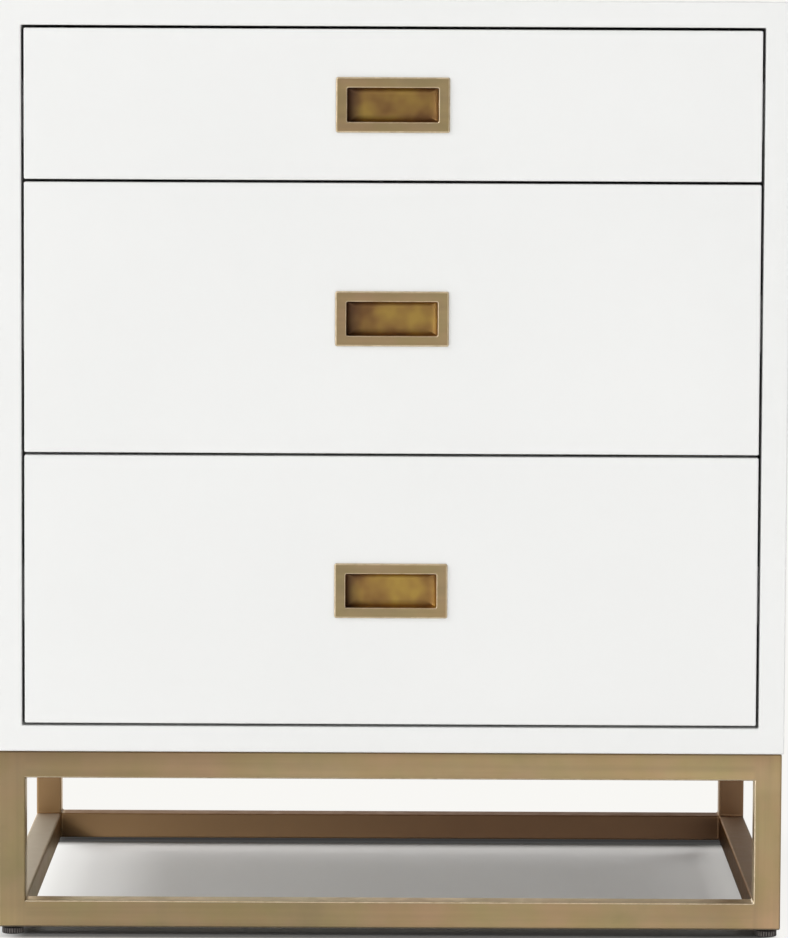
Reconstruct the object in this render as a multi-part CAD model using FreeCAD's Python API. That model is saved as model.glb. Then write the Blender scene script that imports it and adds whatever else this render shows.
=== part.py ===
"""Three-drawer nightstand: a white lacquered case with inset drawers on an open square-tube base.

Millimetres, +Z up, the front faces -Y. The origin is on the floor, at the centre of the footprint.
"""
import FreeCAD, Part
import math
import os

# Case
CASE_WIDTH = 610.0
CASE_DEPTH = 457.0
PANEL = 20.0
CASE_EDGE_RADIUS = 1.2
BACK_THICKNESS = 9.0
BACK_LAP = 10.0
BACK_RECESS = 1.0
BACK_PLAY = 0.3
DOWEL_RADIUS = 4.0
DOWEL_COVER = 8.0
DOWEL_DEPTH = 18.0
DOWEL_COUNT = 5
DOWEL_MARGIN = 40.0

# Drawer fronts
FRONT_GAP = 2.2
FRONT_THICKNESS = 20.0
TOP_FRONT_HEIGHT = 115.5
LOWER_FRONT_HEIGHT = 208.0
FRONT_EDGE_RADIUS = 1.2

# Drawer boxes
BOX_WALL = 12.0
BOX_LIFT = 13.0
BOX_DROP = 22.0
BOX_BOTTOM = 6.0
GROOVE_DEPTH = 6.0
GROOVE_UP = 10.0
GROOVE_PLAY = 0.1
TAIL_PITCH = 30.0
PIN_TIP = 5.0
TAIL_SLOPE = 0.15

# Telescopic runners
SLIDE_SPACE = 13.0
RAIL_HEIGHT = 45.0
RAIL_STEEL = 1.2
RAIL_PLAY = 0.4
RAIL_LIP = 2.5
RAIL_MOUTH = 2.0
RAIL_SETBACK = 3.0
REAR_SPACE = 24.0
HEAD_ROOM = 2.0

# Recessed pulls
PULL_WIDTH = 88.0
PULL_HEIGHT = 43.0
PULL_PROUD = 2.0
PULL_BEVEL = 1.2
OPENING_WIDTH = 70.0
OPENING_HEIGHT = 26.0
CUP_DEPTH = 10.0
CUP_WALL = 1.5
CUP_RADIUS = 4.0
MORTISE_PLAY = 0.4
BOSS_RADIUS = 4.0
BOSS_COVER = 3.0
PULL_SCREW_SPACING = 40.0

# Base
BASE_HEIGHT = 138.0
TUBE = 21.0
TUBE_WALL = 1.5
TUBE_RADIUS = 1.6
BASE_INSET = 1.5
TAB_SIZE = 40.0
TAB_THICKNESS = 3.0

# Levelling feet
FOOT_HEIGHT = 6.0
FOOT_RADIUS = 8.5
FOOT_CHAMFER = 0.8
FOOT_RIBS = 26
RIB_GROOVE_RADIUS = 0.55
NECK_HEIGHT = 1.0
NECK_RADIUS = 5.5
STUD_RADIUS = 4.0
STUD_LENGTH = 28.0
STUD_PLAY = 0.3
INSERT_HEIGHT = 22.0
INSERT_PLAY = 0.05

# Fasteners
SCREW_PLAY = 0.1
WOOD_SCREW_RADIUS = 1.75
WOOD_HEAD_RADIUS = 3.4
WOOD_HEAD_HEIGHT = 1.5
SCREW_COVER = 3.0
FRONT_SCREW_INSET = 60.0
FRONT_SCREW_EDGE = 20.0
FRONT_SCREW_BITE = 12.0
RAIL_SCREW_MARGIN = 35.0
RAIL_SCREW_COUNT = 3
BACK_SCREW_RADIUS = 1.75
BACK_SCREW_HEAD_RADIUS = 3.4
BACK_SCREW_BITE = 18.0
BACK_SCREW_MARGIN = 45.0
BACK_SCREW_COUNT = 4
BASE_SCREW_RADIUS = 3.0
BASE_SCREW_HEAD_RADIUS = 5.5
BASE_SCREW_HEAD_HEIGHT = 3.5
BASE_SCREW_COVER = 6.0

# Levels and planes that follow from the sizes above
INNER_HALF = CASE_WIDTH / 2 - PANEL
OPENING = TOP_FRONT_HEIGHT + 2 * LOWER_FRONT_HEIGHT + 4 * FRONT_GAP
CASE_BOTTOM = FOOT_HEIGHT + BASE_HEIGHT
CASE_TOP = CASE_BOTTOM + 2 * PANEL + OPENING
FRONT_Y = -(CASE_DEPTH - PULL_PROUD) / 2
BACK_Y = FRONT_Y + CASE_DEPTH
SHOULDER_Y = BACK_Y - BACK_RECESS - BACK_THICKNESS
RAIL_FRONT = FRONT_Y + FRONT_THICKNESS + RAIL_SETBACK
RAIL_LENGTH = SHOULDER_Y - REAR_SPACE - RAIL_FRONT
BOX_FRONT = FRONT_Y + FRONT_THICKNESS
BOX_BACK = RAIL_FRONT + RAIL_LENGTH
BOX_HALF = INNER_HALF - SLIDE_SPACE
BOSS_LENGTH = FRONT_THICKNESS - CUP_DEPTH - CUP_WALL - BOSS_COVER

X = FreeCAD.Vector(1, 0, 0)
Y = FreeCAD.Vector(0, 1, 0)
Z = FreeCAD.Vector(0, 0, 1)

os.makedirs("parts", exist_ok=True)


def save(name, *solids):
    """Writes one piece, or one group of like pieces, as a named file."""
    shape = solids[0] if len(solids) == 1 else Part.makeCompound(list(solids))
    shape.exportStep("parts/" + name + ".step")


def block(x0, x1, y0, y1, z0, z1):
    return Part.makeBox(x1 - x0, y1 - y0, z1 - z0, FreeCAD.Vector(x0, y0, z0))


def prism(points, sweep):
    """A straight prism over a closed outline of points."""
    outline = [FreeCAD.Vector(*point) for point in points]
    return Part.Face(Part.makePolygon(outline + outline[:1])).extrude(sweep)


def edges_along(shape, direction):
    return [edge for edge in shape.Edges if abs(edge.tangentAt(edge.FirstParameter).dot(direction)) > 0.99]


def edges_at(shape, direction, level):
    """Edges that lie wholly in the plane at a level along a direction."""
    found = []
    for edge in shape.Edges:
        if all(abs(vertex.Point.dot(direction) - level) < 0.001 for vertex in edge.Vertexes):
            found.append(edge)
    return found


def spread(start, end, count):
    """Evenly spaced stations, both ends included."""
    return [start + (end - start) * index / (count - 1) for index in range(count)]


def screw(seat, direction, length, radius, head_radius, head_height):
    """A pan-head screw: its head stands on the seat and its shank runs on along the direction."""
    shank = Part.makeCylinder(radius, length, seat, direction)
    head = Part.makeCylinder(head_radius, head_height, seat, direction * -1)
    return shank.fuse(head)


def bore(seat, direction, length, radius):
    """The hole that a shank goes in."""
    return Part.makeCylinder(radius + SCREW_PLAY, length + SCREW_PLAY, seat, direction)


# Feet: a ribbed pad under a short neck, in one piece with the stud that screws into the leg
def make_foot(x, y):
    centre = FreeCAD.Vector(x, y, 0)
    pad_height = FOOT_HEIGHT - NECK_HEIGHT
    pad = Part.makeCylinder(FOOT_RADIUS, pad_height, centre)
    pad = pad.makeChamfer(FOOT_CHAMFER, edges_at(pad, Z, 0))
    grooves = []
    for index in range(FOOT_RIBS):
        angle = 2 * math.pi * index / FOOT_RIBS
        rim = centre + FreeCAD.Vector(math.cos(angle), math.sin(angle), 0) * FOOT_RADIUS
        grooves.append(Part.makeCylinder(RIB_GROOVE_RADIUS, pad_height, rim + Z * FOOT_CHAMFER))
    pad = pad.cut(Part.makeCompound(grooves))
    neck = Part.makeCylinder(NECK_RADIUS, NECK_HEIGHT, centre + Z * pad_height)
    stud = Part.makeCylinder(STUD_RADIUS, STUD_LENGTH, centre + Z * FOOT_HEIGHT)
    return pad.fuse([neck, stud])


# Base: hollow square tubes with eased edges
def tube(x0, x1, y0, y1, z0, z1, axis):
    outer = block(x0, x1, y0, y1, z0, z1)
    outer = outer.makeFillet(TUBE_RADIUS, edges_along(outer, axis))
    wall = (X + Y + Z - axis) * TUBE_WALL
    inner = block(x0 + wall.x, x1 - wall.x, y0 + wall.y, y1 - wall.y, z0 + wall.z, z1 - wall.z)
    return outer.cut(inner)


BASE_X = CASE_WIDTH / 2 - BASE_INSET
BASE_FRONT = FRONT_Y + BASE_INSET
BASE_BACK = BACK_Y - BASE_INSET
LEG_INNER_X = BASE_X - TUBE
LEG_PLACES = {
    "front_left": (-BASE_X, BASE_FRONT),
    "front_right": (LEG_INNER_X, BASE_FRONT),
    "back_left": (-BASE_X, BASE_BACK - TUBE),
    "back_right": (LEG_INNER_X, BASE_BACK - TUBE),
}
inserts = []
tabs = []
base_screws = []
base_bores = []
for corner, (leg_x, leg_y) in LEG_PLACES.items():
    leg = tube(leg_x, leg_x + TUBE, leg_y, leg_y + TUBE, FOOT_HEIGHT, CASE_BOTTOM, Z)
    save(corner + "_leg", leg)
    foot_x = leg_x + TUBE / 2
    foot_y = leg_y + TUBE / 2
    save(corner + "_foot", make_foot(foot_x, foot_y))
    reach = TUBE / 2 - TUBE_WALL - INSERT_PLAY
    plug_top = FOOT_HEIGHT + INSERT_HEIGHT
    plug = block(foot_x - reach, foot_x + reach, foot_y - reach, foot_y + reach, FOOT_HEIGHT, plug_top)
    plug_centre = FreeCAD.Vector(foot_x, foot_y, FOOT_HEIGHT)
    thread = Part.makeCylinder(STUD_RADIUS + STUD_PLAY, INSERT_HEIGHT, plug_centre)
    inserts.append(plug.cut(thread))
    side = math.copysign(1, foot_x)
    end = math.copysign(1, foot_y)
    tab_x = sorted([side * LEG_INNER_X, side * (LEG_INNER_X - TAB_SIZE)])
    tab_start = BASE_FRONT + TUBE if end < 0 else BASE_BACK - TUBE - TAB_SIZE
    tab = block(*tab_x, tab_start, tab_start + TAB_SIZE, CASE_BOTTOM - TAB_THICKNESS, CASE_BOTTOM)
    seat = FreeCAD.Vector(sum(tab_x) / 2, tab_start + TAB_SIZE / 2, CASE_BOTTOM - TAB_THICKNESS)
    screw_length = TAB_THICKNESS + PANEL - BASE_SCREW_COVER
    base_bores.append(bore(seat, Z, screw_length, BASE_SCREW_RADIUS))
    tabs.append(tab.cut(base_bores[-1]))
    base_screws.append(
        screw(seat, Z, screw_length, BASE_SCREW_RADIUS, BASE_SCREW_HEAD_RADIUS, BASE_SCREW_HEAD_HEIGHT)
    )
save("foot_inserts", *inserts)
save("base_mounting_tabs", *tabs)
save("base_screws", *base_screws)

for tier, low in (("top", CASE_BOTTOM - TUBE), ("bottom", FOOT_HEIGHT)):
    high = low + TUBE
    run_front = BASE_FRONT + TUBE
    run_back = BASE_BACK - TUBE
    save("base_" + tier + "_front_rail", tube(-LEG_INNER_X, LEG_INNER_X, BASE_FRONT, run_front, low, high, X))
    save("base_" + tier + "_back_rail", tube(-LEG_INNER_X, LEG_INNER_X, run_back, BASE_BACK, low, high, X))
    save("base_" + tier + "_left_rail", tube(-BASE_X, -LEG_INNER_X, run_front, run_back, low, high, Y))
    save("base_" + tier + "_right_rail", tube(LEG_INNER_X, BASE_X, run_front, run_back, low, high, Y))


# Runners: three nested channels a side. Each outline gives the upper half, from the case to the drawer
def channel(half_outline, side, level):
    outline = half_outline + [(reach, -height) for reach, height in reversed(half_outline)]
    points = [(side * (INNER_HALF - reach), RAIL_FRONT, level + height) for reach, height in outline]
    return prism(points, Y * RAIL_LENGTH)


FIXED_HALF = RAIL_HEIGHT / 2
FIXED_MOUTH = SLIDE_SPACE - RAIL_MOUTH
FIXED_OUTLINE = [
    (0, FIXED_HALF),
    (FIXED_MOUTH, FIXED_HALF),
    (FIXED_MOUTH, FIXED_HALF - RAIL_STEEL - RAIL_LIP),
    (FIXED_MOUTH - RAIL_STEEL, FIXED_HALF - RAIL_STEEL - RAIL_LIP),
    (FIXED_MOUTH - RAIL_STEEL, FIXED_HALF - RAIL_STEEL),
    (RAIL_STEEL, FIXED_HALF - RAIL_STEEL),
]
MIDDLE_HALF = FIXED_HALF - RAIL_STEEL - RAIL_PLAY
MIDDLE_WEB = RAIL_STEEL + HEAD_ROOM
MIDDLE_MOUTH = FIXED_MOUTH - RAIL_STEEL - RAIL_PLAY
MIDDLE_OUTLINE = [
    (MIDDLE_WEB, MIDDLE_HALF),
    (MIDDLE_MOUTH, MIDDLE_HALF),
    (MIDDLE_MOUTH, MIDDLE_HALF - RAIL_STEEL - RAIL_LIP),
    (MIDDLE_MOUTH - RAIL_STEEL, MIDDLE_HALF - RAIL_STEEL - RAIL_LIP),
    (MIDDLE_MOUTH - RAIL_STEEL, MIDDLE_HALF - RAIL_STEEL),
    (MIDDLE_WEB + RAIL_STEEL, MIDDLE_HALF - RAIL_STEEL),
]
DRAWER_HALF = MIDDLE_HALF - RAIL_STEEL - RAIL_LIP - RAIL_PLAY
HOOK_OUTER = MIDDLE_MOUTH - RAIL_STEEL - RAIL_PLAY
HOOK_HALF = MIDDLE_HALF - RAIL_STEEL - RAIL_PLAY
DRAWER_WEB = SLIDE_SPACE - RAIL_STEEL
DRAWER_OUTLINE = [
    (SLIDE_SPACE, DRAWER_HALF),
    (HOOK_OUTER, DRAWER_HALF),
    (HOOK_OUTER, HOOK_HALF),
    (HOOK_OUTER - RAIL_STEEL, HOOK_HALF),
    (HOOK_OUTER - RAIL_STEEL, DRAWER_HALF - RAIL_STEEL),
    (DRAWER_WEB, DRAWER_HALF - RAIL_STEEL),
]
RAIL_SCREW_PLACES = spread(RAIL_FRONT + RAIL_SCREW_MARGIN, BOX_BACK - RAIL_SCREW_MARGIN, RAIL_SCREW_COUNT)
CASE_SCREW_LENGTH = RAIL_STEEL + PANEL - SCREW_COVER
DRAWER_SCREW_LENGTH = RAIL_STEEL + BOX_WALL - SCREW_COVER
case_side_bores = {-1: [], 1: []}
slide_screws = []


def wood_screw(seat, direction, length):
    return screw(seat, direction, length, WOOD_SCREW_RADIUS, WOOD_HEAD_RADIUS, WOOD_HEAD_HEIGHT)


# Drawers: dovetailed box, applied lacquered front with the pull let into it, and the box's rails
def tails(base_y, end_y, x0, z0, z1):
    """The row of dovetails at one end of a drawer side, wider at their ends."""
    count = max(2, round((z1 - z0) / TAIL_PITCH))
    pitch = (z1 - z0) / count
    end_half = (pitch - PIN_TIP) / 2
    base_half = end_half - BOX_WALL * TAIL_SLOPE
    row = []
    for index in range(count):
        mid = z0 + (index + 0.5) * pitch
        points = [
            (x0, base_y, mid - base_half),
            (x0, base_y, mid + base_half),
            (x0, end_y, mid + end_half),
            (x0, end_y, mid - end_half),
        ]
        row.append(prism(points, X * BOX_WALL))
    return row


def make_pull(mid):
    """One casting: a bevelled plate, a recessed cup and two bosses for the screws behind it."""
    face = FRONT_Y - PULL_PROUD
    plate_x = PULL_WIDTH / 2
    plate_z = PULL_HEIGHT / 2
    plate = block(-plate_x, plate_x, face, FRONT_Y, mid - plate_z, mid + plate_z)
    plate = plate.makeChamfer(PULL_BEVEL, edges_at(plate, Y, face))
    half_x = OPENING_WIDTH / 2
    half_z = OPENING_HEIGHT / 2
    floor = FRONT_Y + CUP_DEPTH
    shell_x = half_x + CUP_WALL
    shell_z = half_z + CUP_WALL
    shell = block(-shell_x, shell_x, FRONT_Y, floor + CUP_WALL, mid - shell_z, mid + shell_z)
    shell = shell.makeFillet(CUP_RADIUS, edges_at(shell, Y, floor + CUP_WALL))
    hollow = block(-half_x, half_x, face, floor, mid - half_z, mid + half_z)
    hollow = hollow.makeFillet(CUP_RADIUS, edges_at(hollow, Y, floor))
    bosses = []
    for side in (-1, 1):
        foot = FreeCAD.Vector(side * PULL_SCREW_SPACING / 2, floor + CUP_WALL, mid)
        bosses.append(Part.makeCylinder(BOSS_RADIUS, BOSS_LENGTH, foot, Y))
    return plate.fuse([shell] + bosses).cut(hollow)


def make_mortise(mid):
    """The pocket that takes the pull's cup and its bosses."""
    half_x = OPENING_WIDTH / 2 + CUP_WALL + MORTISE_PLAY
    half_z = OPENING_HEIGHT / 2 + CUP_WALL + MORTISE_PLAY
    floor = FRONT_Y + CUP_DEPTH + CUP_WALL + MORTISE_PLAY
    pocket = block(-half_x, half_x, FRONT_Y, floor, mid - half_z, mid + half_z)
    holes = []
    for side in (-1, 1):
        foot = FreeCAD.Vector(side * PULL_SCREW_SPACING / 2, FRONT_Y, mid)
        depth = FRONT_THICKNESS - BOSS_COVER + MORTISE_PLAY
        holes.append(Part.makeCylinder(BOSS_RADIUS + MORTISE_PLAY, depth, foot, Y))
    return pocket.fuse(holes)


def make_drawer(name, low, height):
    """Builds a drawer whose front starts at a level, with its runners, and saves every piece."""
    mid = low + height / 2
    box_low = low + BOX_LIFT
    box_high = low + height - BOX_DROP
    rail_level = (box_low + box_high) / 2
    inner_front_y = BOX_FRONT + BOX_WALL
    inner_back_y = BOX_BACK - BOX_WALL
    inner_x = BOX_HALF - BOX_WALL
    fasteners = []

    half_width = INNER_HALF - FRONT_GAP
    front = block(-half_width, half_width, FRONT_Y, BOX_FRONT, low, low + height)
    front_edges = edges_at(front, Y, FRONT_Y) + edges_along(front, Y)
    front = front.makeFillet(FRONT_EDGE_RADIUS, front_edges).cut(make_mortise(mid))
    inner_front = block(-BOX_HALF, BOX_HALF, BOX_FRONT, inner_front_y, box_low, box_high)
    back = block(-BOX_HALF, BOX_HALF, inner_back_y, BOX_BACK, box_low, box_high)

    floor_x = inner_x + GROOVE_DEPTH
    floor_front = inner_front_y - GROOVE_DEPTH
    floor_back = inner_back_y + GROOVE_DEPTH
    floor_low = box_low + GROOVE_UP
    floor_high = floor_low + BOX_BOTTOM
    slot = block(
        -floor_x - GROOVE_PLAY,
        floor_x + GROOVE_PLAY,
        floor_front - GROOVE_PLAY,
        floor_back + GROOVE_PLAY,
        floor_low,
        floor_high + GROOVE_PLAY,
    )
    save(name + "_drawer_bottom", block(-floor_x, floor_x, floor_front, floor_back, floor_low, floor_high))

    for side, word in ((-1, "left"), (1, "right")):
        wall_x = -BOX_HALF if side < 0 else inner_x
        front_tails = tails(inner_front_y, BOX_FRONT, wall_x, box_low, box_high)
        back_tails = tails(inner_back_y, BOX_BACK, wall_x, box_low, box_high)
        wall = block(wall_x, wall_x + BOX_WALL, inner_front_y, inner_back_y, box_low, box_high)
        wall = wall.fuse(front_tails + back_tails).removeSplitter()
        inner_front = inner_front.cut(Part.makeCompound(front_tails))
        back = back.cut(Part.makeCompound(back_tails))
        rail_bores = []
        for place in RAIL_SCREW_PLACES:
            seat = FreeCAD.Vector(side * (INNER_HALF - DRAWER_WEB), place, rail_level)
            fasteners.append(wood_screw(seat, X * -side, DRAWER_SCREW_LENGTH))
            rail_bores.append(bore(seat, X * -side, DRAWER_SCREW_LENGTH, WOOD_SCREW_RADIUS))
        save(name + "_drawer_" + word + "_side", wall.cut(Part.makeCompound([slot] + rail_bores)))

    front_bores = []
    for side in (-1, 1):
        for level in (box_low + FRONT_SCREW_EDGE, box_high - FRONT_SCREW_EDGE):
            seat = FreeCAD.Vector(side * (BOX_HALF - FRONT_SCREW_INSET), inner_front_y, level)
            length = BOX_WALL + FRONT_SCREW_BITE
            fasteners.append(wood_screw(seat, Y * -1, length))
            front_bores.append(bore(seat, Y * -1, length, WOOD_SCREW_RADIUS))
    pull_bores = []
    for side in (-1, 1):
        seat = FreeCAD.Vector(side * PULL_SCREW_SPACING / 2, inner_front_y, mid)
        length = BOX_WALL + BOSS_COVER + BOSS_LENGTH
        fasteners.append(wood_screw(seat, Y * -1, length))
        pull_bores.append(bore(seat, Y * -1, length, WOOD_SCREW_RADIUS))
    bores = Part.makeCompound(front_bores + pull_bores)
    save(name + "_drawer_front", front.cut(bores))
    save(name + "_drawer_inner_front", inner_front.cut(slot).cut(bores))
    save(name + "_drawer_back", back.cut(slot))
    save(name + "_drawer_pull", make_pull(mid).cut(Part.makeCompound(pull_bores)))
    save(name + "_drawer_screws", *fasteners)

    fixed_rails = []
    middle_rails = []
    drawer_rails = []
    for side in (-1, 1):
        case_bores = []
        drawer_bores = []
        for place in RAIL_SCREW_PLACES:
            seat = FreeCAD.Vector(side * (INNER_HALF - RAIL_STEEL), place, rail_level)
            slide_screws.append(wood_screw(seat, X * side, CASE_SCREW_LENGTH))
            case_bores.append(bore(seat, X * side, CASE_SCREW_LENGTH, WOOD_SCREW_RADIUS))
            drawer_seat = FreeCAD.Vector(side * (INNER_HALF - DRAWER_WEB), place, rail_level)
            drawer_bores.append(bore(drawer_seat, X * -side, RAIL_STEEL, WOOD_SCREW_RADIUS))
        case_side_bores[side] += case_bores
        fixed_rails.append(channel(FIXED_OUTLINE, side, rail_level).cut(Part.makeCompound(case_bores)))
        middle_rails.append(channel(MIDDLE_OUTLINE, side, rail_level))
        drawer_rails.append(channel(DRAWER_OUTLINE, side, rail_level).cut(Part.makeCompound(drawer_bores)))
    save(name + "_slide_fixed_rails", *fixed_rails)
    save(name + "_slide_middle_rails", *middle_rails)
    save(name + "_slide_drawer_rails", *drawer_rails)


level = CASE_BOTTOM + PANEL + FRONT_GAP
for drawer, drawer_height in (
    ("bottom", LOWER_FRONT_HEIGHT),
    ("middle", LOWER_FRONT_HEIGHT),
    ("top", TOP_FRONT_HEIGHT),
):
    make_drawer(drawer, level, drawer_height)
    level += drawer_height + FRONT_GAP
save("slide_screws", *slide_screws)


# Case: top and bottom over the full width, sides dowelled between them, back let into a rabbet
envelope = block(-CASE_WIDTH / 2, CASE_WIDTH / 2, FRONT_Y, BACK_Y, CASE_BOTTOM, CASE_TOP)
envelope = envelope.makeFillet(CASE_EDGE_RADIUS, envelope.Edges)
OPENING_LOW = CASE_BOTTOM + PANEL
OPENING_HIGH = CASE_TOP - PANEL
rabbet_x = INNER_HALF + BACK_LAP
rabbet_low = OPENING_LOW - BACK_LAP
rabbet_high = OPENING_HIGH + BACK_LAP
rabbet = block(-rabbet_x, rabbet_x, SHOULDER_Y, BACK_Y, rabbet_low, rabbet_high)
back_panel = block(
    -rabbet_x + BACK_PLAY,
    rabbet_x - BACK_PLAY,
    SHOULDER_Y,
    SHOULDER_Y + BACK_THICKNESS,
    rabbet_low + BACK_PLAY,
    rabbet_high - BACK_PLAY,
)

back_screws = []
rows = []
for place in spread(-INNER_HALF + BACK_SCREW_MARGIN, INNER_HALF - BACK_SCREW_MARGIN, BACK_SCREW_COUNT):
    rows += [(place, OPENING_LOW - BACK_LAP / 2), (place, OPENING_HIGH + BACK_LAP / 2)]
for place in spread(OPENING_LOW + BACK_SCREW_MARGIN, OPENING_HIGH - BACK_SCREW_MARGIN, BACK_SCREW_COUNT):
    rows += [(-INNER_HALF - BACK_LAP / 2, place), (INNER_HALF + BACK_LAP / 2, place)]
for place_x, place_z in rows:
    top = FreeCAD.Vector(place_x, SHOULDER_Y + BACK_THICKNESS, place_z)
    sink = BACK_SCREW_HEAD_RADIUS - BACK_SCREW_RADIUS
    head = Part.makeCone(BACK_SCREW_HEAD_RADIUS, BACK_SCREW_RADIUS, sink, top, Y * -1)
    shank_length = BACK_THICKNESS + BACK_SCREW_BITE - sink
    shank = Part.makeCylinder(BACK_SCREW_RADIUS, shank_length, top - Y * sink, Y * -1)
    back_screws.append(head.fuse(shank))
save("back_panel_screws", *back_screws)
screw_space = Part.makeCompound(back_screws)
save("back_panel", back_panel.cut(screw_space))

dowels = []
for side in (-1, 1):
    dowel_x = side * (CASE_WIDTH - PANEL) / 2
    for place in spread(FRONT_Y + DOWEL_MARGIN, BACK_Y - DOWEL_MARGIN, DOWEL_COUNT):
        length = PANEL - DOWEL_COVER + DOWEL_DEPTH
        for start in (CASE_BOTTOM + DOWEL_COVER, CASE_TOP - DOWEL_COVER - length):
            dowels.append(Part.makeCylinder(DOWEL_RADIUS, length, FreeCAD.Vector(dowel_x, place, start)))
save("case_dowels", *dowels)

removed = [rabbet] + back_screws + dowels
for name, z0, z1, more in (
    ("top_panel", OPENING_HIGH, CASE_TOP, []),
    ("bottom_panel", CASE_BOTTOM, OPENING_LOW, base_bores),
):
    panel = envelope.common(block(-CASE_WIDTH, CASE_WIDTH, FRONT_Y, BACK_Y, z0, z1))
    save(name, panel.cut(Part.makeCompound(removed + more)))
for name, side in (("left_side_panel", -1), ("right_side_panel", 1)):
    x0, x1 = sorted([side * INNER_HALF, side * CASE_WIDTH])
    panel = envelope.common(block(x0, x1, FRONT_Y, BACK_Y, OPENING_LOW, OPENING_HIGH))
    save(name, panel.cut(Part.makeCompound(removed + case_side_bores[side])))
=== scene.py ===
import bpy
import math
from mathutils import Matrix, Vector


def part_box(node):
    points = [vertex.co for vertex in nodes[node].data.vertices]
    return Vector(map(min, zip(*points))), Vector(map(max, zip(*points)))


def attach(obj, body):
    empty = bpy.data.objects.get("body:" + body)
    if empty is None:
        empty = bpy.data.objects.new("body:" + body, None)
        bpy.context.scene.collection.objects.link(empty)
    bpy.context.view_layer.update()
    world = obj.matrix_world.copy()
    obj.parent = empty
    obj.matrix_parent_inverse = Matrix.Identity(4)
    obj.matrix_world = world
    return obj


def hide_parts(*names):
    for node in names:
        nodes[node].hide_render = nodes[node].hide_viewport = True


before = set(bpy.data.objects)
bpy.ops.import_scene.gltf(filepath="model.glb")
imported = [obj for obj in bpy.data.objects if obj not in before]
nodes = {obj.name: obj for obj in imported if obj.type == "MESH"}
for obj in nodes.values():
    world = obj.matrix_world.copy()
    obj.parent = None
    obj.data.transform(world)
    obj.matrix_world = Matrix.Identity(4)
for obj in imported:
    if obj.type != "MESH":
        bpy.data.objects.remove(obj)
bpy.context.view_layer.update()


# Base: an open box of square steel tube. The rails are butted between full-height legs, welded and ground
# flush, so that each face runs on without a seam, then plated and rubbed to an aged satin brass.
TUBE = 0.021
TUBE_EDGE = 0.0016
EDGE_STEPS = 4
CLOSE = 0.0001
SQUARE_ON = 0.9
TURNED_AWAY = 0.3
CORNERS = ("front_left", "front_right", "back_left", "back_right")


def put_down():
    """Leaves edit mode with nothing selected."""
    if bpy.context.mode != "OBJECT":
        bpy.ops.object.mode_set(mode="OBJECT")
    bpy.ops.object.select_all(action="DESELECT")


def take(piece):
    """Makes one piece the only selected and active object."""
    put_down()
    piece.select_set(True)
    bpy.context.view_layer.objects.active = piece


def add_block(name, low, high):
    """Adds a squared block between two corners, with its place in its mesh."""
    put_down()
    middle = [(a + b) / 2 for a, b in zip(low, high)]
    bpy.ops.mesh.primitive_cube_add(size=1, location=middle)
    block = bpy.context.object
    block.name = name
    block.scale = [b - a for a, b in zip(low, high)]
    bpy.ops.object.transform_apply(location=True, rotation=True, scale=True)
    return block


def clear_picks(piece, kind):
    """Leaves edit mode with nothing of the piece selected, ready to pick vertices, edges or faces."""
    take(piece)
    bpy.context.tool_settings.mesh_select_mode = (kind == "VERT", kind == "EDGE", kind == "FACE")
    mesh = piece.data
    for group in (mesh.vertices, mesh.edges, mesh.polygons):
        group.foreach_set("select", [False] * len(group))
    return mesh


def pick_faces(piece, wanted):
    """Opens edit mode with the faces selected whose centre and normal are wanted."""
    mesh = clear_picks(piece, "FACE")
    for face in mesh.polygons:
        face.select = wanted(face.center, face.normal)
    bpy.ops.object.mode_set(mode="EDIT")


def ease_edges(piece, radius, segments, angle=40):
    """Rounds every sharp edge and keeps the flats truly flat."""
    take(piece)
    bpy.ops.object.shade_smooth()
    bevel = piece.modifiers.new("eased_edges", "BEVEL")
    bevel.width = radius
    bevel.segments = segments
    bevel.limit_method = "ANGLE"
    bevel.angle_limit = math.radians(angle)
    bpy.ops.object.modifier_apply(modifier=bevel.name)
    true_flats(piece)


def true_flats(piece):
    """Lets the large faces rule the shading, so that only the rounded edges turn."""
    take(piece)
    flats = piece.modifiers.new("true_flats", "WEIGHTED_NORMAL")
    flats.weight = 80
    bpy.ops.object.modifier_apply(modifier=flats.name)


def start_finish(name):
    """Begins a finish: the material, its tree, its shader and the object's own coordinates."""
    finish = bpy.data.materials.new(name)
    finish.use_nodes = True
    tree = finish.node_tree
    place = tree.nodes.new("ShaderNodeTexCoord").outputs["Object"]
    return finish, tree, tree.nodes["Principled BSDF"], place


def add_noise(tree, place, scale, detail=2.0, roughness=0.5):
    noise = tree.nodes.new("ShaderNodeTexNoise")
    noise.inputs["Scale"].default_value = scale
    noise.inputs["Detail"].default_value = detail
    noise.inputs["Roughness"].default_value = roughness
    tree.links.new(place, noise.inputs["Vector"])
    return noise.outputs["Fac"]


def add_ramp(tree, source, stops):
    """Adds a colour ramp over a value, from (place, colour) stops."""
    ramp = tree.nodes.new("ShaderNodeValToRGB")
    entries = ramp.color_ramp.elements
    while len(entries) < len(stops):
        entries.new(1.0)
    for entry, (place, colour) in zip(entries, stops):
        entry.position = place
        entry.color = (*colour, 1.0)
    tree.links.new(source, ramp.inputs["Fac"])
    return ramp.outputs["Color"]


def add_span(tree, source, low, high, start=0.3, end=0.7):
    """Spreads a texture's usual values over a wanted range."""
    span = tree.nodes.new("ShaderNodeMapRange")
    span.inputs["From Min"].default_value = start
    span.inputs["From Max"].default_value = end
    span.inputs["To Min"].default_value = low
    span.inputs["To Max"].default_value = high
    tree.links.new(source, span.inputs["Value"])
    return span.outputs["Result"]


def add_math(tree, operation, first, second):
    """Adds a sum of two values, each a socket or a number."""
    made = tree.nodes.new("ShaderNodeMath")
    made.operation = operation
    for value, socket in zip((first, second), made.inputs):
        if isinstance(value, float):
            socket.default_value = value
        else:
            tree.links.new(value, socket)
    return made.outputs[0]


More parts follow.
